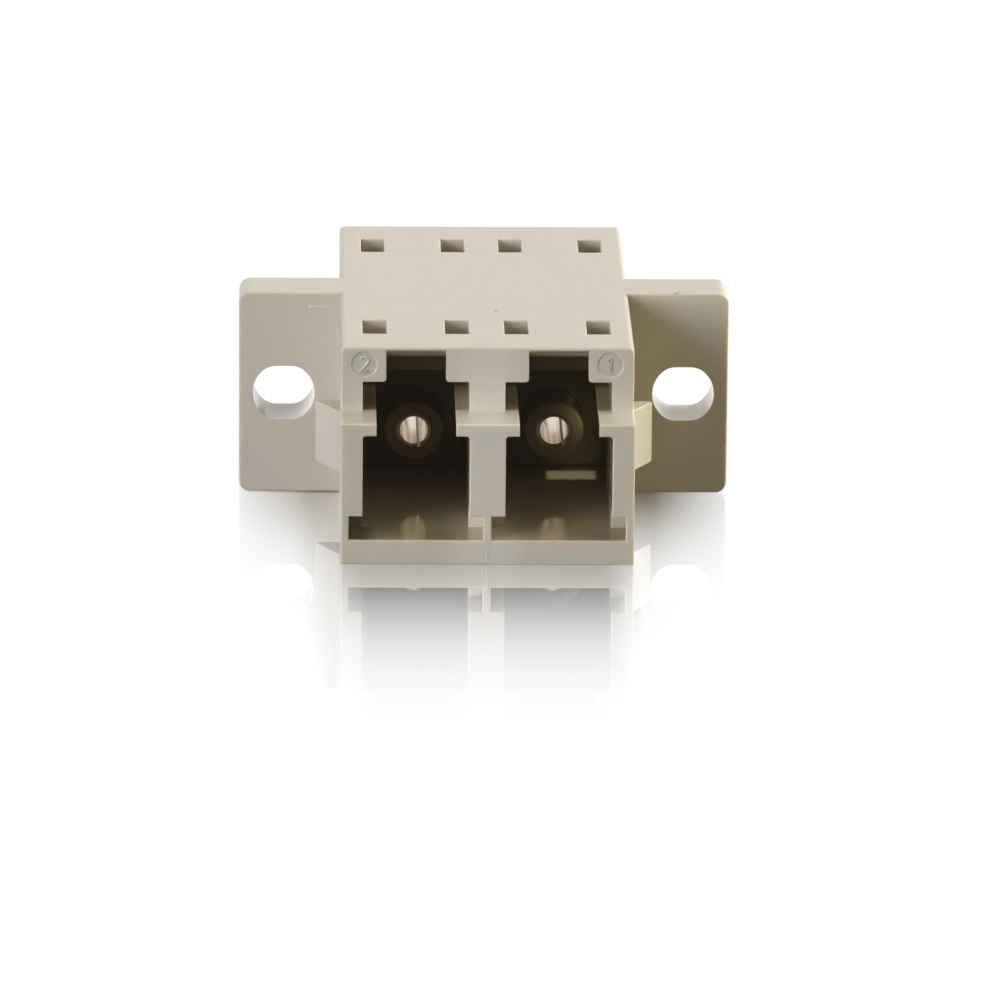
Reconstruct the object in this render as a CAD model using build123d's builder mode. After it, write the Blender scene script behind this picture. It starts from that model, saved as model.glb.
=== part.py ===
from build123d import *
import math
import os

os.makedirs("parts", exist_ok=True)

# Duplex LC fibre adapter with a screw flange, in millimetres.
# Frame: +X right, +Y into the adapter from its front ports, +Z up (latch side).
# Origin: middle of the footprint, on the flat underside.

# overall sizes
overall_length = 27.30      # lower body, port face to port face
upper_length = 22.70        # upper body, set back at both ends
body_width = 12.86
body_height = 9.20
ledge_z = 6.33              # top of the lower body where the upper body is set back
side_edge_r = 0.24          # long top edges of the body
edge_r = 0.10               # other soft moulded edges
blend_r = 0.32              # hollow blend at the foot of the upper end face
port_edge_r = 0.05          # port outlines on the end faces
window_edge_r = 0.06        # latch window rims

# flange
flange_width = 21.90
flange_thickness = 2.80
flange_corner_r = 0.50
flange_edge_r = 0.08
rim_r = 0.03
slot_centre_x = 8.95
slot_centre_z = 4.58
slot_half_length = 1.38
slot_end_r = 1.33
slot_half_height = 1.22
slot_blend_r = 0.90         # between the flats and the round ends

# ports
port_pitch = 6.25           # standard LC duplex spacing
port_floor_z = 1.06
cavity_width = 4.67
cavity_height = 4.70
cavity_corner_r = 0.15
axis_z = 3.39               # optical axis
neck_width = 3.48
neck_deep_top_z = 6.92
notch_width = 5.88
notch_height = 1.08
notch_depth = 2.28
wing_width = 4.67
wing_top_z = 7.64
channel_width = 2.62
channel_top_z = 8.62
channel_mouth_z = 8.98
channel_lead = 0.75
window_near = 2.48          # from the upper end face
window_far = 4.98
window_inner = 1.29         # from the port centre line
window_outer = 2.34
web_thickness = 1.00
web_hole_r = 1.51

# panel catches on the body sides
catch_rise = 1.08
catch_length = 2.12
catch_back_y = 3.05
catch_z0 = 1.88
catch_z1 = 4.66
catch_tip = 0.06
catch_corner_r = 0.14
catch_edge_r = 0.05

# round dishes in the upper end face
dish_r = 0.59
dish_depth = 0.06
dish_taper = 45
dish_x = 5.39
dish_z = 8.42

# sleeve holders
plate_width = 4.61
plate_height = 4.64
plate_outer_y = 0.99
tube_r = 1.33
tube_end_y = 3.56
lip_r = 0.78
lip_inner_y = 3.43
chamber_r = 0.87
spigot_r = 1.49
joint_gap = 0.005

# split sleeve
sleeve_length = 6.80
sleeve_inner_r = 0.625
sleeve_outer_r = 0.84
sleeve_slit = 0.14

half_length = overall_length / 2
half_upper = upper_length / 2
cavity_top_z = port_floor_z + cavity_height
plate_z0 = port_floor_z + (cavity_height - plate_height) / 2
port_xs = (-port_pitch / 2, port_pitch / 2)


def end_plane(side, y):
    # sketch plane on an end face: local x runs along +X at the front and -X at
    # the rear, local y runs along +Z, and the normal points out of the adapter
    return Plane(origin=(0, side * y, 0), x_dir=(-side, 0, 0), z_dir=(0, side, 0))


with BuildPart() as flange:
    # flange plate with a soft outline and two flat-sided screw holes
    with BuildSketch(Plane.XZ.offset(-flange_thickness / 2)):
        with Locations((0, body_height / 2)):
            RectangleRounded(flange_width, body_height, flange_corner_r)
    extrude(amount=flange_thickness)
    outline = flange.edges().filter_by(
        lambda e: abs(abs(e.center().Y) - flange_thickness / 2) < 0.001
        and e.center().Z > 0.01)
    fillet(outline, flange_edge_r)
    with BuildSketch(Plane.XZ.offset(-flange_thickness / 2)):
        dx = slot_half_length - slot_end_r
        flat = dx + math.sqrt(slot_end_r**2 - slot_half_height**2)
        for cx in (-slot_centre_x, slot_centre_x):
            z_low = slot_centre_z - slot_half_height
            z_high = slot_centre_z + slot_half_height
            with BuildLine():
                Line((cx + flat, z_high), (cx - flat, z_high))
                ThreePointArc((cx - flat, z_high),
                              (cx - slot_half_length, slot_centre_z),
                              (cx - flat, z_low))
                Line((cx - flat, z_low), (cx + flat, z_low))
                ThreePointArc((cx + flat, z_low),
                              (cx + slot_half_length, slot_centre_z),
                              (cx + flat, z_high))
            hole = make_face()
            fillet(hole.vertices(), slot_blend_r)
    extrude(amount=flange_thickness, mode=Mode.SUBTRACT)
    rims = flange.edges().filter_by(
        lambda e: abs(abs(e.center().Y) - flange_thickness / 2) < 0.001
        and abs(abs(e.center().X) - slot_centre_x) < slot_half_length + 0.05
        and abs(e.center().Z - slot_centre_z) < slot_half_height + 0.05)
    fillet(rims, rim_r)


with BuildPart() as catches:
    # panel catches: a ramp on each side, in front of the flange, that rises
    # towards it and leaves room for the panel behind its back face
    for side in (-1, 1):
        with BuildSketch(Plane.XY.offset(catch_z0)):
            with BuildLine():
                Polyline(
                    (side * (body_width / 2 - 0.4), -catch_back_y - catch_length),
                    (side * body_width / 2, -catch_back_y - catch_length),
                    (side * (body_width / 2 + catch_rise), -catch_back_y - catch_tip),
                    (side * (body_width / 2 + catch_rise), -catch_back_y),
                    (side * (body_width / 2 - 0.4), -catch_back_y),
                    close=True,
                )
            make_face()
        extrude(amount=catch_z1 - catch_z0)
    # rounded outer corners, seen from the front
    with BuildSketch(Plane.XZ.offset(catch_back_y)):
        with Locations((0, (catch_z0 + catch_z1) / 2)):
            RectangleRounded(body_width + 2 * catch_rise, catch_z1 - catch_z0, catch_corner_r)
    extrude(amount=catch_length, mode=Mode.INTERSECT)


with BuildPart() as housing:
    # body: one side profile, with the upper part set back at both ends over
    # a ledge and a hollow blend at the foot of each upper end face
    with BuildSketch(Plane.YZ.offset(-body_width / 2)):
        with BuildLine():
            q = blend_r * (1 - math.sqrt(0.5))
            Line((-half_length, 0), (half_length, 0))
            Line((half_length, 0), (half_length, ledge_z))
            Line((half_length, ledge_z), (half_upper + blend_r, ledge_z))
            ThreePointArc((half_upper + blend_r, ledge_z),
                          (half_upper + q, ledge_z + q),
                          (half_upper, ledge_z + blend_r))
            Line((half_upper, ledge_z + blend_r), (half_upper, body_height))
            Line((half_upper, body_height), (-half_upper, body_height))
            Line((-half_upper, body_height), (-half_upper, ledge_z + blend_r))
            ThreePointArc((-half_upper, ledge_z + blend_r),
                          (-half_upper - q, ledge_z + q),
                          (-half_upper - blend_r, ledge_z))
            Line((-half_upper - blend_r, ledge_z), (-half_length, ledge_z))
            Line((-half_length, ledge_z), (-half_length, 0))
        make_face()
    extrude(amount=body_width)

    # soft edges: along the top sides first, then round every end face
    top_sides = housing.edges().filter_by(Axis.Y).filter_by(
        lambda e: abs(e.center().Z - body_height) < 0.01)
    fillet(top_sides, side_edge_r)
    soft = housing.edges().filter_by(
        lambda e: e.center().Z > 0.05
        and not (abs(e.center().Y) < half_upper - 0.05)
        and not (abs(e.center().Z - ledge_z) < 0.01 and abs(e.center().X) < 1
                 and abs(e.center().Y) < half_length - 0.05)
        and not (abs(e.center().Z - ledge_z - blend_r) < 0.01 and abs(e.center().X) < 1))
    fillet(soft, edge_r)

    # flange
    add(flange.part)

    # panel catches
    add(catches.part)

    for side in (-1, 1):
        # plug cavity, from the port face to the web
        with BuildSketch(end_plane(side, half_length)):
            with Locations(*[(x, port_floor_z + cavity_height / 2) for x in port_xs]):
                Rectangle(cavity_width, cavity_height)
        extrude(amount=-(half_length - web_thickness / 2), mode=Mode.SUBTRACT)
        # lower corner notches
        with BuildSketch(end_plane(side, half_length)):
            with Locations(*[(x, port_floor_z + notch_height / 2) for x in port_xs]):
                Rectangle(notch_width, notch_height)
        extrude(amount=-notch_depth, mode=Mode.SUBTRACT)
        # neck above the cavity for the latch arm
        with BuildSketch(end_plane(side, half_length)):
            with Locations(*[(x, (cavity_top_z - 0.2 + neck_deep_top_z) / 2) for x in port_xs]):
                Rectangle(neck_width, neck_deep_top_z - cavity_top_z + 0.2)
        extrude(amount=-(half_length - plate_outer_y), mode=Mode.SUBTRACT)
        # wing slots under the catch blocks
        with BuildSketch(end_plane(side, half_upper + 0.5)):
            with Locations(*[(x, (ledge_z + wing_top_z) / 2) for x in port_xs]):
                Rectangle(wing_width, wing_top_z - ledge_z)
        extrude(amount=-(window_far + 0.5), mode=Mode.SUBTRACT)
        # latch channel between the catch blocks, with a sloped roof at its mouth
        for x in port_xs:
            with BuildSketch(Plane.YZ.offset(x - channel_width / 2)):
                with BuildLine():
                    Polyline(
                        (side * (half_upper + 0.6), ledge_z),
                        (side * (half_upper + 0.6), channel_mouth_z),
                        (side * half_upper, channel_mouth_z),
                        (side * (half_upper - channel_lead), channel_top_z),
                        (side * (half_upper - window_far), channel_top_z),
                        (side * (half_upper - window_far), ledge_z),
                        close=True,
                    )
                make_face()
            extrude(amount=channel_width, mode=Mode.SUBTRACT)
            # latch windows through the roof
            for wing in (-1, 1):
                with BuildSketch(Plane.XY.offset(ledge_z)):
                    with Locations((x + wing * (window_inner + window_outer) / 2,
                                    side * (half_upper - (window_near + window_far) / 2))):
                        Rectangle(window_outer - window_inner, window_far - window_near)
                extrude(amount=body_height - ledge_z + 0.2, mode=Mode.SUBTRACT)
        # shallow round dishes on the catch blocks, with sloped walls
        with BuildSketch(end_plane(side, half_upper)):
            with Locations((-dish_x, dish_z), (dish_x, dish_z)):
                Circle(dish_r)
        extrude(amount=-dish_depth, taper=dish_taper, mode=Mode.SUBTRACT)

    # holes through the web for the sleeve holders
    with BuildSketch(Plane.XZ.offset(-web_thickness / 2)):
        with Locations(*[(x, axis_z) for x in port_xs]):
            Circle(web_hole_r)
    extrude(amount=web_thickness, mode=Mode.SUBTRACT)

    # rounded top corners of the plug cavities
    cavity_corners = (
        housing.edges()
        .filter_by(Axis.Y)
        .filter_by(
            lambda e: abs(e.center().Z - cavity_top_z) < 0.01
            and min(abs(abs(e.center().X - x) - cavity_width / 2) for x in port_xs) < 0.01
        )
    )
    fillet(cavity_corners, cavity_corner_r)
    # rounded inner corners of the catch blocks
    block_corners = (
        housing.edges()
        .filter_by(Axis.Y)
        .filter_by(
            lambda e: abs(e.center().Z - wing_top_z) < 0.01
            and min(abs(abs(e.center().X - x) - channel_width / 2) for x in port_xs) < 0.01
        )
    )
    fillet(block_corners, cavity_corner_r)

    # soft outer edges of the catches
    ramp_edges = housing.edges().filter_by(
        lambda e: body_width / 2 + 0.05 < abs(e.center().X) < body_width / 2 + catch_rise
        and -catch_back_y - catch_length - 0.2 < e.center().Y < -catch_back_y - 0.15
        and min(abs(e.center().Z - catch_z0), abs(e.center().Z - catch_z1)) < 0.01)
    fillet(ramp_edges, catch_edge_r)
    # soft rims of the latch windows
    window_rims = housing.edges().filter_by(
        lambda e: abs(e.bounding_box().min.Z - body_height) < 0.001
        and abs(e.center().X) < 6.0
        and 5 < abs(e.center().Y) < half_upper - 2.3)
    fillet(window_rims, window_edge_r)
    # soft outlines of the ports on the end faces
    port_outlines = housing.edges().filter_by(
        lambda e: abs(abs(e.bounding_box().min.Y) - half_length) < 0.001
        and abs(abs(e.bounding_box().max.Y) - half_length) < 0.001
        and 0.5 < e.center().Z < ledge_z - 0.12
        and abs(e.center().X) < 6.2)
    fillet(port_outlines, port_edge_r)

housing.part.label = "housing"
export_step(housing.part, "parts/housing.step")


def sleeve_holder(x, side):
    with BuildPart() as holder:
        # square plate that seats against the web
        with BuildSketch(end_plane(side, web_thickness / 2)):
            with Locations((-side * x, plate_z0 + plate_height / 2)):
                RectangleRounded(plate_width, plate_height, 0.16)
        extrude(amount=plate_outer_y - web_thickness / 2)
        # tube
        with BuildSketch(end_plane(side, plate_outer_y - 0.1)):
            with Locations((-side * x, axis_z)):
                Circle(tube_r)
        extrude(amount=tube_end_y - plate_outer_y + 0.1)
        tip = holder.edges().filter_by(GeomType.CIRCLE).sort_by(
            lambda e: abs(e.center().Y))[-1]
        chamfer(tip, 0.06)
        # spigot in the web
        with BuildSketch(end_plane(side, web_thickness / 2 + 0.1)):
            with Locations((-side * x, axis_z)):
                Circle(spigot_r)
        extrude(amount=-(web_thickness / 2 + 0.1 - joint_gap))
        # sleeve chamber
        with BuildSketch(end_plane(side, 0)):
            with Locations((-side * x, axis_z)):
                Circle(chamber_r)
        extrude(amount=lip_inner_y, mode=Mode.SUBTRACT)
        # mouth with its lead-in
        with BuildSketch(end_plane(side, lip_inner_y - 0.05)):
            with Locations((-side * x, axis_z)):
                Circle(lip_r)
        extrude(amount=tube_end_y, mode=Mode.SUBTRACT)
        mouth = holder.edges().filter_by(GeomType.CIRCLE).filter_by(
            lambda e: abs(abs(e.center().Y) - tube_end_y) < 0.01
            and abs(e.radius - lip_r) < 0.01)
        chamfer(mouth, 0.05)
        # blend at the tube's root
        root = holder.edges().filter_by(GeomType.CIRCLE).filter_by(
            lambda e: abs(abs(e.center().Y) - plate_outer_y) < 0.01)
        fillet(root, 0.12)
    return holder


sleeve_holder_front_left = sleeve_holder(port_xs[0], -1)
sleeve_holder_front_left.part.label = "sleeve_holder_front_left"
export_step(sleeve_holder_front_left.part, "parts/sleeve_holder_front_left.step")

sleeve_holder_front_right = sleeve_holder(port_xs[1], -1)
sleeve_holder_front_right.part.label = "sleeve_holder_front_right"
export_step(sleeve_holder_front_right.part, "parts/sleeve_holder_front_right.step")

sleeve_holder_rear_left = sleeve_holder(port_xs[0], 1)
sleeve_holder_rear_left.part.label = "sleeve_holder_rear_left"
export_step(sleeve_holder_rear_left.part, "parts/sleeve_holder_rear_left.step")

sleeve_holder_rear_right = sleeve_holder(port_xs[1], 1)
sleeve_holder_rear_right.part.label = "sleeve_holder_rear_right"
export_step(sleeve_holder_rear_right.part, "parts/sleeve_holder_rear_right.step")


def split_sleeve(x, slit_angle):
    # slit_angle is measured in the XZ plane from straight down towards +X
    a = math.radians(slit_angle)
    with BuildPart() as sleeve:
        with BuildSketch(Plane.XZ.offset(-sleeve_length / 2)):
            with Locations((x, axis_z)):
                Circle(sleeve_outer_r)
                Circle(sleeve_inner_r, mode=Mode.SUBTRACT)
            mid = (sleeve_inner_r + sleeve_outer_r) / 2
            with Locations(Location((x + mid * math.sin(a), axis_z - mid * math.cos(a)),
                                    slit_angle)):
                Rectangle(sleeve_slit, 0.5, mode=Mode.SUBTRACT)
        extrude(amount=sleeve_length)
    return sleeve


split_sleeve_left = split_sleeve(port_xs[0], 18)
split_sleeve_left.part.label = "split_sleeve_left"
export_step(split_sleeve_left.part, "parts/split_sleeve_left.step")

split_sleeve_right = split_sleeve(port_xs[1], 38)
split_sleeve_right.part.label = "split_sleeve_right"
export_step(split_sleeve_right.part, "parts/split_sleeve_right.step")
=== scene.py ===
import math

import bpy
import bmesh
from mathutils import Matrix, Vector


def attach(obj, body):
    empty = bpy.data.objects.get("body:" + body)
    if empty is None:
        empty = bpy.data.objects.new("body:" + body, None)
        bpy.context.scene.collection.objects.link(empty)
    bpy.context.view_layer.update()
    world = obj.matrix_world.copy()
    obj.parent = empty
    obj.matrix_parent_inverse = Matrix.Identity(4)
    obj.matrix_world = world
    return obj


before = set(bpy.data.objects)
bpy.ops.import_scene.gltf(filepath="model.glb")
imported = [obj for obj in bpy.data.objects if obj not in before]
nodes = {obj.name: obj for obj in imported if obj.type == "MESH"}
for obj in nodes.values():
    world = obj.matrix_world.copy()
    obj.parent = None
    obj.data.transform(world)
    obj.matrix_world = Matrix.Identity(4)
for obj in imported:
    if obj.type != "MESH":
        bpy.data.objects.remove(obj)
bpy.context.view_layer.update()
scene = bpy.context.scene
MM = 0.001

scene.view_settings.view_transform = "Standard"
scene.view_settings.look = "None"
scene.view_settings.exposure = 0.0
scene.view_settings.gamma = 1.0
# the photo's blacks are slightly raised
scene.view_settings.use_curve_mapping = True
scene.view_settings.curve_mapping.black_level = (-0.0085, -0.0070, -0.0055)
scene.view_settings.curve_mapping.update()


# ---------------------------------------------------------------- camera
cam_data = bpy.data.cameras.new("camera")
cam = bpy.data.objects.new("camera", cam_data)
scene.collection.objects.link(cam)
cam_right = Vector((0.9998139748, -0.0174173453, 0.0082856426))
cam_up = Vector((-0.0034869955, 0.2592760915, 0.9657969503))
cam_back = Vector((-0.0189698879, -0.9656461797, 0.2591671254))
rot = Matrix((cam_right, cam_up, cam_back)).transposed()
cam.matrix_world = Matrix.Translation(
    Vector((-7.966453, -447.004043, 119.222344)) * MM) @ rot.to_4x4()
cam_data.sensor_width = 36.0
cam_data.lens = 369.81
cam_data.clip_start = 0.01
cam_data.clip_end = 10.0
scene.camera = cam


# ---------------------------------------------------------------- node helpers
class Net:
    """A small helper that keeps the node code short."""

    def __init__(self, tree):
        self.t = tree
        self.t.nodes.clear()

    def add(self, kind, **props):
        n = self.t.nodes.new(kind)
        for k, v in props.items():
            setattr(n, k, v)
        return n

    def link(self, a, b):
        self.t.links.new(a, b)

    def put(self, sock, v):
        if isinstance(v, bpy.types.NodeSocket):
            self.link(v, sock)
        else:
            sock.default_value = v

    def math(self, op, a, b=0.0, c=0.0, clamp=False):
        n = self.add("ShaderNodeMath", operation=op, use_clamp=clamp)
        for i, v in enumerate((a, b, c)):
            if i < len(n.inputs):
                self.put(n.inputs[i], v)
        return n.outputs[0]

    def smooth(self, v, lo, hi, a=0.0, b=1.0):
        n = self.add("ShaderNodeMapRange", interpolation_type="SMOOTHSTEP")
        self.put(n.inputs["Value"], v)
        n.inputs["From Min"].default_value = lo
        n.inputs["From Max"].default_value = hi
        n.inputs["To Min"].default_value = a
        n.inputs["To Max"].default_value = b
        return n.outputs[0]

    def mix(self, fac, a, b, blend="MIX"):
        n = self.add("ShaderNodeMix", data_type="RGBA", blend_type=blend)
        self.put(n.inputs[0], fac)
        self.put(n.inputs[6], a)
        self.put(n.inputs[7], b)
        return n.outputs[2]

    def noise(self, vec, scale, detail=2.0, rough=0.5):
        n = self.add("ShaderNodeTexNoise")
        self.link(vec, n.inputs["Vector"])
        n.inputs["Scale"].default_value = scale
        n.inputs["Detail"].default_value = detail
        n.inputs["Roughness"].default_value = rough
        return n.outputs["Fac"]


def new_material(name):
    m = bpy.data.materials.new(name)
    m.use_nodes = True
    return m, Net(m.node_tree)


# ---------------------------------------------------------------- plastic
SSS_WEIGHT = 0.7
SSS_SCALE = 0.35


def plastic(name, base, port_shade_col, rough_out=0.34, rough_in=0.045, translucent=SSS_WEIGHT):
    m, n = new_material(name)
    out = n.add("ShaderNodeOutputMaterial")
    bsdf = n.add("ShaderNodeBsdfPrincipled")
    n.link(bsdf.outputs[0], out.inputs[0])
    tex = n.add("ShaderNodeTexCoord")
    obj = tex.outputs["Object"]
    xyz = n.add("ShaderNodeSeparateXYZ")
    n.link(obj, xyz.inputs[0])
    x, y, z = xyz.outputs
    # cloudy colour of the moulding, and a finer mottle
    cloud = n.noise(obj, 260.0, 3.0, 0.55)
    mottle = n.noise(obj, 2600.0, 2.0, 0.5)
    lighter = [min(1.0, c * 1.035) for c in base] + [1.0]
    darker = [c * 0.955 for c in base] + [1.0]
    col = n.mix(cloud, darker, lighter)
    col = n.mix(n.math("MULTIPLY", mottle, 0.10), col, [c * 0.90 for c in base] + [1.0])
    # inside the ports: painted shade, a darker colour over the port cavities, whose core-pin faces are also
    # polished
    ax = n.math("ABSOLUTE", x)
    px = n.math("ABSOLUTE", n.math("SUBTRACT", ax, 3.125 * MM))
    in_x = n.smooth(px, 2.33 * MM, 2.345 * MM, 1.0, 0.0)
    ay = n.math("ABSOLUTE", y)
    in_z = n.math("MULTIPLY", n.smooth(z, 1.04 * MM, 1.055 * MM), n.smooth(z, 8.15 * MM, 9.15 * MM, 1.0, 0.0))
    low_y = n.smooth(ay, 13.3 * MM, 13.62 * MM, 1.0, 0.0)
    high_y = n.smooth(ay, 10.9 * MM, 11.3 * MM, 1.0, 0.0)
    above = n.smooth(z, 6.20 * MM, 6.30 * MM)
    in_y = n.math("ADD", n.math("MULTIPLY", low_y, n.math("SUBTRACT", 1.0, above)),
                  n.math("MULTIPLY", high_y, above))
    inside = n.math("MULTIPLY", n.math("MULTIPLY", in_x, in_z), in_y)
    # the notches in the lower corners of the port mouths belong to the inside too
    notch = n.math("MULTIPLY", n.smooth(px, 2.95 * MM, 2.965 * MM, 1.0, 0.0), n.smooth(z, 1.04 * MM, 1.055 * MM))
    notch = n.math("MULTIPLY", notch, n.smooth(z, 2.145 * MM, 2.16 * MM, 1.0, 0.0))
    notch = n.math("MULTIPLY", n.math("MULTIPLY", notch, n.smooth(ay, 11.35 * MM, 11.40 * MM)), low_y)
    inside = n.math("MAXIMUM", inside, notch)
    col = n.mix(n.math("MULTIPLY", inside, 0.75), col, list(port_shade_col) + [1.0])
    # painted shade: darker and browner towards the port mouths, less so in the right port
    mouth_shade = n.math("MULTIPLY", n.math("MULTIPLY", inside, n.math("SUBTRACT", 1.0, above)),
                   n.smooth(ay, 10.8 * MM, 12.8 * MM))
    mouth_shade = n.math("MULTIPLY", mouth_shade, n.smooth(x, -0.5 * MM, 0.5 * MM, 1.0, 0.25))
    col = n.mix(n.math("MULTIPLY", mouth_shade, 0.50), col, [port_shade_col[0] * 0.68, port_shade_col[1] * 0.67, port_shade_col[2] * 0.52, 1.0])
    # painted shade: darkest at the far end of the latch channels and on the lip over them, darker on the latch
    # channel walls, the notch corners and the left port's outer notch
    far_end = n.math("MULTIPLY", n.smooth(ay, 6.45 * MM, 7.6 * MM, 1.0, 0.0), n.smooth(z, 8.50 * MM, 8.62 * MM, 1.0, 0.0))
    far_end = n.math("MULTIPLY", n.math("MULTIPLY", far_end, inside), above)
    lip = n.math("MULTIPLY", n.smooth(ay, 11.26 * MM, 11.33 * MM), n.smooth(px, 1.30 * MM, 1.34 * MM, 1.0, 0.0))
    lip = n.math("MULTIPLY", n.math("MULTIPLY", lip, n.smooth(z, 8.7 * MM, 8.8 * MM)), n.smooth(z, 8.99 * MM, 9.13 * MM, 1.0, 0.0))
    shade = n.math("MAXIMUM", n.math("MULTIPLY", far_end, 0.97), n.math("MULTIPLY", lip, 0.92))
    walls = n.math("MULTIPLY", n.math("MULTIPLY", inside, above), n.smooth(z, 8.50 * MM, 8.62 * MM, 1.0, 0.0))
    corner = n.math("MULTIPLY", notch, n.smooth(px, 2.33 * MM, 2.345 * MM))
    shade = n.math("MAXIMUM", shade, n.math("MULTIPLY", n.math("MAXIMUM", walls, corner), 0.30))
    shade = n.math("MAXIMUM", shade, n.math("MULTIPLY", n.math("MULTIPLY", notch, n.smooth(x, -5.60 * MM, -4.70 * MM, 1.0, 0.0)), 0.90))
    col = n.mix(shade, col, [port_shade_col[0] * 0.36, port_shade_col[1] * 0.32, port_shade_col[2] * 0.25, 1.0])
    # walls of the flange's screw holes, polished like the ports
    hole = n.math("MULTIPLY", n.smooth(ax, 7.52 * MM, 7.56 * MM), n.smooth(ax, 10.35 * MM, 10.39 * MM, 1.0, 0.0))
    hole = n.math("MULTIPLY", hole, n.math("MULTIPLY", n.smooth(z, 3.30 * MM, 3.34 * MM), n.smooth(z, 5.82 * MM, 5.86 * MM, 1.0, 0.0)))
    hole = n.math("MULTIPLY", hole, n.smooth(ay, 1.345 * MM, 1.385 * MM, 1.0, 0.0))
    # a little paler between the two ports
    pale = n.math("MULTIPLY", n.smooth(ax, 0.5 * MM, 2.2 * MM, 1.0, 0.0), n.smooth(ay, 6.2 * MM, 10.5 * MM))
    pale = n.math("MULTIPLY", pale, n.smooth(z, 9.0 * MM, 9.15 * MM, 1.0, 0.0))
    col = n.mix(n.math("MULTIPLY", pale, 0.8), col, [base[0] * 1.13, base[1] * 1.14, base[2] * 1.20, 1.0])
    # a faint darker line across the roof, where it thins over the latch channels
    from_line = n.math("ABSOLUTE", n.math("SUBTRACT", ay, 6.42 * MM))
    line = n.math("MULTIPLY", n.smooth(from_line, 0.02 * MM, 0.13 * MM, 1.0, 0.0), n.smooth(z, 9.0 * MM, 9.15 * MM))
    line = n.math("MULTIPLY", line, n.smooth(ax, 5.6 * MM, 5.8 * MM, 1.0, 0.0))
    col = n.mix(n.math("MULTIPLY", line, 0.16), col, [c * 0.55 for c in base] + [1.0])
    n.link(col, bsdf.inputs["Base Color"])
    rough_noise = n.math("MULTIPLY", n.math("SUBTRACT", cloud, 0.5), n.math("MULTIPLY_ADD", inside, -0.08, 0.10))
    polished = n.math("MAXIMUM", inside, n.math("MULTIPLY", hole, 0.85))
    rough = n.math("ADD", n.math("MULTIPLY_ADD", polished, rough_in - rough_out, rough_out), rough_noise)
    n.link(rough, bsdf.inputs["Roughness"])
    bsdf.inputs["IOR"].default_value = 1.50
    # a coat inside the ports, which yellows what they reflect: a painted warm tint on their reflections
    n.link(inside, bsdf.inputs["Coat Weight"])
    bsdf.inputs["Coat IOR"].default_value = 1.02
    bsdf.inputs["Coat Roughness"].default_value = 0.1
    bsdf.inputs["Coat Tint"].default_value = (0.992, 0.972, 0.915, 1.0)
    # light creeps a little way through the plastic, red furthest
    bsdf.inputs["Subsurface Weight"].default_value = translucent
    bsdf.inputs["Subsurface Radius"].default_value = (1.0, 0.72, 0.38)
    bsdf.inputs["Subsurface Scale"].default_value = SSS_SCALE * MM
    # spark-eroded texture outside, nearly smooth inside
    grain = n.noise(obj, 9000.0, 2.0, 0.6)
    wave = n.noise(obj, 420.0, 2.0, 0.5)
    h = n.math("ADD", n.math("MULTIPLY", grain, n.math("MULTIPLY_ADD", polished, -0.94, 1.0)),
               n.math("MULTIPLY", wave, 2.2))
    bump = n.add("ShaderNodeBump")
    bump.inputs["Strength"].default_value = 0.22
    bump.inputs["Distance"].default_value = 0.012 * MM
    n.link(h, bump.inputs["Height"])
    n.link(bump.outputs[0], bsdf.inputs["Normal"])
    return m


BEIGE = (0.650, 0.590, 0.494)
# painted shade colour for the inside of the ports
PORT_SHADE_COL = (0.440, 0.375, 0.280)
housing_mat = plastic("moulded_beige", BEIGE, PORT_SHADE_COL)
mark_mat = plastic("moulded_beige_marks", BEIGE, PORT_SHADE_COL, translucent=0.0)
# the sleeve holders: beige moulding coloured dark brown, painted shade for their place deep in the ports
holder_mat = plastic("moulded_beige_holder_painted_shade", (0.31, 0.225, 0.135), (0.25, 0.175, 0.10), 0.3, 0.2)


def bronze():
    m, n = new_material("phosphor_bronze")
    out = n.add("ShaderNodeOutputMaterial")
    bsdf = n.add("ShaderNodeBsdfPrincipled")
    n.link(bsdf.outputs[0], out.inputs[0])
    tex = n.add("ShaderNodeTexCoord")
    mapping = n.add("ShaderNodeMapping")
    n.link(tex.outputs["Object"], mapping.inputs["Vector"])
    mapping.inputs["Scale"].default_value = (9000.0, 350.0, 9000.0)
    streak = n.add("ShaderNodeTexNoise")
    n.link(mapping.outputs[0], streak.inputs["Vector"])
    streak.inputs["Scale"].default_value = 1.0
    streak.inputs["Detail"].default_value = 3.0
    col = n.mix(streak.outputs["Fac"], (0.575, 0.460, 0.335, 1.0), (0.605, 0.488, 0.362, 1.0))
    n.link(col, bsdf.inputs["Base Color"])
    bsdf.inputs["Metallic"].default_value = 1.0
    n.link(n.math("MULTIPLY_ADD", streak.outputs["Fac"], 0.05, 0.11), bsdf.inputs["Roughness"])
    bump = n.add("ShaderNodeBump")
    bump.inputs["Strength"].default_value = 0.04
    bump.inputs["Distance"].default_value = 0.004 * MM
    n.link(streak.outputs["Fac"], bump.inputs["Height"])
    n.link(bump.outputs[0], bsdf.inputs["Normal"])
    return m


bronze_mat = bronze()


def dress(obj, mat):
    obj.data.materials.clear()
    obj.data.materials.append(mat)


for name, obj in nodes.items():
    if name == "housing":
        dress(obj, housing_mat)
    elif name.startswith("sleeve_holder"):
        dress(obj, holder_mat)
    else:
        dress(obj, bronze_mat)


# ---------------------------------------------------------------- raised marks
def mesh_object(name, bm, mat, smooth=True):
    me = bpy.data.meshes.new(name)
    bmesh.ops.recalc_face_normals(bm, faces=bm.faces[:])
    bm.to_mesh(me)
    bm.free()
    for p in me.polygons:
        p.use_smooth = smooth
    me.materials.append(mat)
    o = bpy.data.objects.new(name, me)
    scene.collection.objects.link(o)
    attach(o, "root")
    return o


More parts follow.
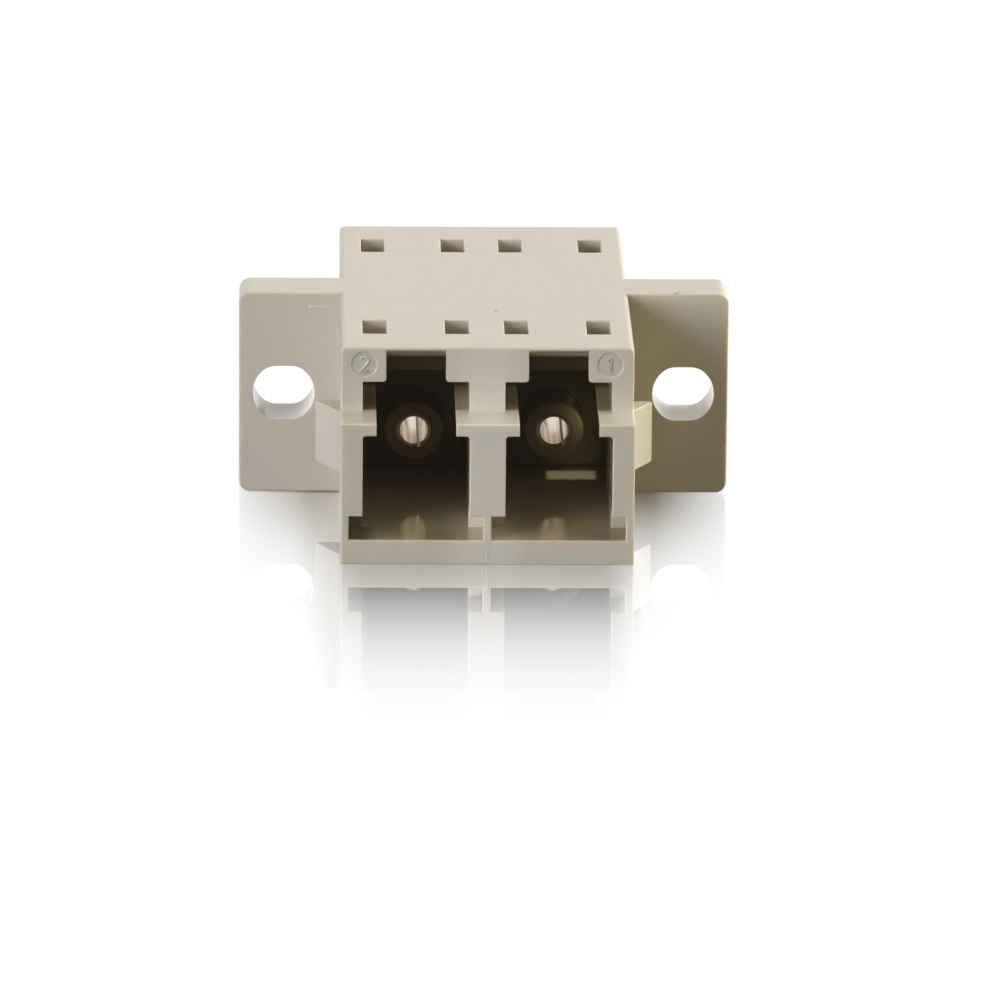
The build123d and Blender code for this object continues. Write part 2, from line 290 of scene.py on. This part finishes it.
def ring(name, cx, cz, y, r, half_w, rise, seg=72):
    """A low rounded ridge in a circle, standing out of a face that looks along -Y."""
    bm = bmesh.new()
    prof = []
    for i in range(7):
        a = math.pi * i / 6
        prof.append((r + half_w * math.cos(a), -rise * math.sin(a)))
    prof = [(r + half_w, 0.02)] + prof + [(r - half_w, 0.02)]
    rows = []
    for k in range(seg):
        t = 2 * math.pi * k / seg
        rows.append([bm.verts.new(((cx + pr * math.cos(t)) * MM, (y + dy) * MM, (cz + pr * math.sin(t)) * MM))
                     for pr, dy in prof])
    for k in range(seg):
        a, b = rows[k], rows[(k + 1) % seg]
        for i in range(len(prof)):
            j = (i + 1) % len(prof)
            bm.faces.new((a[i], a[j], b[j], b[i]))
    return mesh_object(name, bm, mark_mat)


def ridge(name, path, half_w, rise):
    """A low ridge along a path of (x, y, z) points on faces that look along -Y."""
    bm = bmesh.new()
    prof = [(-half_w, 0.02)] + [(half_w * -math.cos(math.pi * i / 6), -rise * math.sin(math.pi * i / 6))
                                for i in range(7)] + [(half_w, 0.02)]
    pts = [Vector(p) for p in path]
    rows = []
    for i, p in enumerate(pts):
        d = (pts[min(i + 1, len(pts) - 1)] - pts[max(i - 1, 0)]).normalized()
        side = Vector((0, -1, 0)).cross(d).normalized()
        rows.append([bm.verts.new((p + side * s + Vector((0, dy, 0))) * MM) for s, dy in prof])
    for a, b in zip(rows, rows[1:]):
        for i in range(len(prof)):
            j = (i + 1) % len(prof)
            bm.faces.new((a[i], a[j], b[j], b[i]))
    bm.faces.new(rows[0])
    bm.faces.new(rows[-1])
    return mesh_object(name, bm, mark_mat)


DISH_Y = -11.35 + 0.06


def arc(cx, cz, r, a0, a1, k=12):
    return [(cx + r * math.cos(math.radians(a0 + (a1 - a0) * i / k)),
             cz + r * math.sin(math.radians(a0 + (a1 - a0) * i / k))) for i in range(k + 1)]


def numeral(name, cx, cz, strokes):
    for i, s in enumerate(strokes):
        ridge(f"{name}_{i}", [(cx + a, DISH_Y, cz + b) for a, b in s], 0.065, 0.05)


numeral("dish_numeral_left", -5.39, 8.42,
        [arc(0.0, 0.15, 0.18, 165, -35) + [(-0.19, -0.33)] + [(0.20, -0.33)]])
numeral("dish_numeral_right", 5.39, 8.42,
        [[(-0.13, 0.20), (0.03, 0.33), (0.03, -0.32)]])

# ejector mark and witness line on the middle post
ring("ejector_mark", 0.0, 5.63, -13.65, 0.39, 0.03, 0.012)
ridge("witness_line", [(0.0, -13.65, 0.12 + 0.1 * i) for i in range(11)], 0.03, 0.012)


def blob(name, centre, radii, mat, turn=0.0):
    """A small fleck or burr, half sunk in the surface it sits on."""
    bm = bmesh.new()
    bmesh.ops.create_icosphere(bm, subdivisions=3, radius=1.0)
    for v in bm.verts:
        k = 1.0 + 0.22 * math.sin(5.1 * v.co.x + 2.3 * v.co.z) * math.cos(3.7 * v.co.y + 1.9 * v.co.x)
        p = Vector((v.co.x * radii[0] * k, v.co.y * radii[1] * k, v.co.z * radii[2] * k))
        c, q = math.cos(turn), math.sin(turn)
        v.co = Vector((centre[0] + c * p.x - q * p.z, centre[1] + p.y, centre[2] + q * p.x + c * p.z)) * MM
    return mesh_object(name, bm, mat)


# small wear: a burr scratched up on the left of the flange, a nick on its top
# edge at the right, and a fleck on the roof
burr_mat = plastic("scuffed_beige", (0.72, 0.68, 0.61), (0.72, 0.68, 0.61), translucent=0.0)
fleck_mat = plastic("dark_fleck", (0.33, 0.29, 0.21), (0.33, 0.29, 0.21), translucent=0.0)
blob("flange_burr", (-7.72, -1.40, 8.555), (0.13, 0.05, 0.085), burr_mat)
blob("flange_scratch", (-7.33, -1.40, 8.545), (0.40, 0.02, 0.035), burr_mat, 0.02)
blob("flange_nick", (8.55, -1.34, 9.185), (0.075, 0.05, 0.03), fleck_mat, 0.5)
blob("flange_nick_tail", (8.68, -1.22, 9.198), (0.11, 0.07, 0.012), fleck_mat, 0.1)
blob("roof_fleck", (0.47, -4.80, 9.20), (0.075, 0.12, 0.012), fleck_mat)


# ---------------------------------------------------------------- floor
floor_me = bpy.data.meshes.new("studio_floor")
bm = bmesh.new()
bmesh.ops.create_grid(bm, x_segments=1, y_segments=1, size=2.0)
bm.to_mesh(floor_me)
bm.free()
floor = bpy.data.objects.new("studio_floor", floor_me)
floor.location = (0, 0, -0.00001)
scene.collection.objects.link(floor)
floor.visible_diffuse = False
floor.visible_glossy = False


FLOOR_WHITE = 1.02


def floor_material():
    m, n = new_material("studio_floor")
    out = n.add("ShaderNodeOutputMaterial")
    geo = n.add("ShaderNodeNewGeometry")
    xyz = n.add("ShaderNodeSeparateXYZ")
    n.link(geo.outputs["Position"], xyz.inputs[0])
    x, y, z = xyz.outputs
    ax = n.math("ABSOLUTE", x)
    ay = n.math("ABSOLUTE", y)
    right = n.smooth(x, -1.0 * MM, 1.0 * MM)

    def falloff(d):
        t = n.math("POWER", n.math("DIVIDE", d, 10.8 * MM), 1.5)
        return n.math("EXPONENT", n.math("MULTIPLY", t, -1.0))

    # below the body: softer towards its sides
    d = n.math("MAXIMUM", n.math("SUBTRACT", ay, 13.65 * MM), 0.0)
    edge = n.math("MULTIPLY", n.smooth(ax, 5.0 * MM, 6.43 * MM), n.math("MULTIPLY_ADD", right, 0.17, 0.14))
    edge = n.math("MULTIPLY", edge, n.math("MULTIPLY_ADD", d, 1.0 / (7.0 * MM), 1.0))
    body = n.math("MULTIPLY", n.math("SUBTRACT", 1.0, edge, clamp=True), falloff(d))
    # below the flange: long beside the body, gone at the outer ends
    d = n.math("MAXIMUM", n.math("SUBTRACT", ay, 1.4 * MM), 0.0)
    near = n.math("MULTIPLY_ADD", right, 0.48, 0.54)
    grow = n.math("MULTIPLY", n.smooth(ax, 6.6 * MM, 8.8 * MM), n.math("SUBTRACT", 1.2, near))
    d = n.math("MULTIPLY", d, n.math("ADD", near, grow))
    out_x = n.math("DIVIDE", n.math("SUBTRACT", n.math("ABSOLUTE", n.math("ADD", x, 0.1 * MM)), 7.3 * MM), MM)
    wing = n.math("MAXIMUM", n.math("MULTIPLY_ADD", out_x, -0.245, 1.17), 0.05)
    wing = n.math("MULTIPLY", n.math("MINIMUM", wing, 1.08), falloff(d))
    beside = n.smooth(ax, 6.35 * MM, 6.60 * MM)
    fade = n.math("ADD", body, n.math("MULTIPLY", beside, n.math("SUBTRACT", wing, body)))
    strength = n.math("MULTIPLY", fade, 0.89)
    white = n.add("ShaderNodeEmission")
    white.inputs["Color"].default_value = (1, 1, 1, 1)
    white.inputs["Strength"].default_value = FLOOR_WHITE
    gloss = n.add("ShaderNodeBsdfGlossy")
    gloss.inputs["Color"].default_value = (1, 1, 1, 1)
    gloss.inputs["Roughness"].default_value = 0.0
    mix = n.add("ShaderNodeMixShader")
    n.link(strength, mix.inputs[0])
    n.link(white.outputs[0], mix.inputs[1])
    n.link(gloss.outputs[0], mix.inputs[2])
    n.link(mix.outputs[0], out.inputs[0])
    return m


floor_me.materials.append(floor_material())


# ---------------------------------------------------------------- world and lights
world = bpy.data.worlds.new("studio")
scene.world = world
world.use_nodes = True
w = Net(world.node_tree)
wout = w.add("ShaderNodeOutputWorld")
bg = w.add("ShaderNodeBackground")
w.link(bg.outputs[0], wout.inputs[0])
tc = w.add("ShaderNodeTexCoord")


def lobe(direction, lo, hi, colour):
    """Light from round one direction, soft between the cosines lo and hi."""
    d = Vector(direction).normalized()
    n = w.add("ShaderNodeVectorMath", operation="DOT_PRODUCT")
    w.link(tc.outputs["Generated"], n.inputs[0])
    n.inputs[1].default_value = d
    scale = w.add("ShaderNodeVectorMath", operation="SCALE")
    scale.inputs[0].default_value = colour
    w.link(w.smooth(n.outputs["Value"], lo, hi), scale.inputs["Scale"])
    return scale.outputs["Vector"]


LOBES = [
    ((0, 1, 0), 0.80, 0.92, (1.10, 1.10, 1.12)),
    ((0.85, 0.5, 0.3), 0.75, 0.97, (0.95, 1.00, 1.05)),
    ((1, 0, 0.25), 0.75, 0.97, (0.84, 0.74, 0.10)),
    ((1, -0.15, 0.15), 0.90, 0.985, (0.45, 0.36, 0.05)),
    ((0.9, 0.35, 0.1), 0.90, 0.985, (5.8, 5.8, 5.8)),
    ((0, 0, 1), 0.85, 0.97, (0.45, 0.45, 0.36)),
    ((0.7, 0, 0.7), 0.85, 0.97, (2.85, 2.85, 2.70)),
    ((-0.9, -0.45, 0.2), 0.90, 0.985, (2.00, 2.15, 2.40)),
    ((-0.7, -0.7, 0.2), 0.90, 0.985, (6.50, 6.70, 7.10)),
]
AMBIENT = (0.012, 0.011, 0.010)
total = None
for args in LOBES:
    part = lobe(*args)
    add = w.add("ShaderNodeVectorMath", operation="ADD")
    w.put(add.inputs[0], AMBIENT if total is None else total)
    w.put(add.inputs[1], part)
    total = add.outputs["Vector"]
# the floor is the only perfect mirror: round the object it shows a white room
path = w.add("ShaderNodeLightPath")
w.link(w.mix(path.outputs["Is Singular Ray"], total, (1.10, 1.10, 1.12, 1.0)), bg.inputs["Color"])
bg.inputs["Strength"].default_value = 1.0


# a patch of light that falls on the floor of the right port from behind
glint = bpy.data.lights.new("port_glint", "AREA")
glint.shape = "RECTANGLE"
glint.size = 2.15 * MM
glint.size_y = 1.45 * MM
glint.spread = math.radians(20)
glint.energy = 3.6e-6
glint.color = (0.93, 1.0, 0.86)
glint_ob = bpy.data.objects.new("port_glint", glint)
glint_ob.location = (3.93 * MM, -2.38 * MM, 1.86 * MM)
glint_ob.visible_camera = False
glint_ob.visible_glossy = False
scene.collection.objects.link(glint_ob)

# and a spark of it on the shoulder of the tube beside it
spark = bpy.data.lights.new("tube_spark", "AREA")
spark.shape = "DISK"
spark.size = 0.30 * MM
spark.spread = math.radians(70)
spark.energy = 2.6e-6
spark.color = (0.86, 1.0, 0.62)
spark_ob = bpy.data.objects.new("tube_spark", spark)
spark_at = Vector((5.15, -5.0, 4.75))
spark_ob.matrix_world = Matrix.Translation(spark_at * MM) @ (
    (Vector((4.20, -3.5, 3.80)) - spark_at).to_track_quat("-Z", "Y").to_matrix().to_4x4())
spark_ob.visible_camera = False
scene.collection.objects.link(spark_ob)
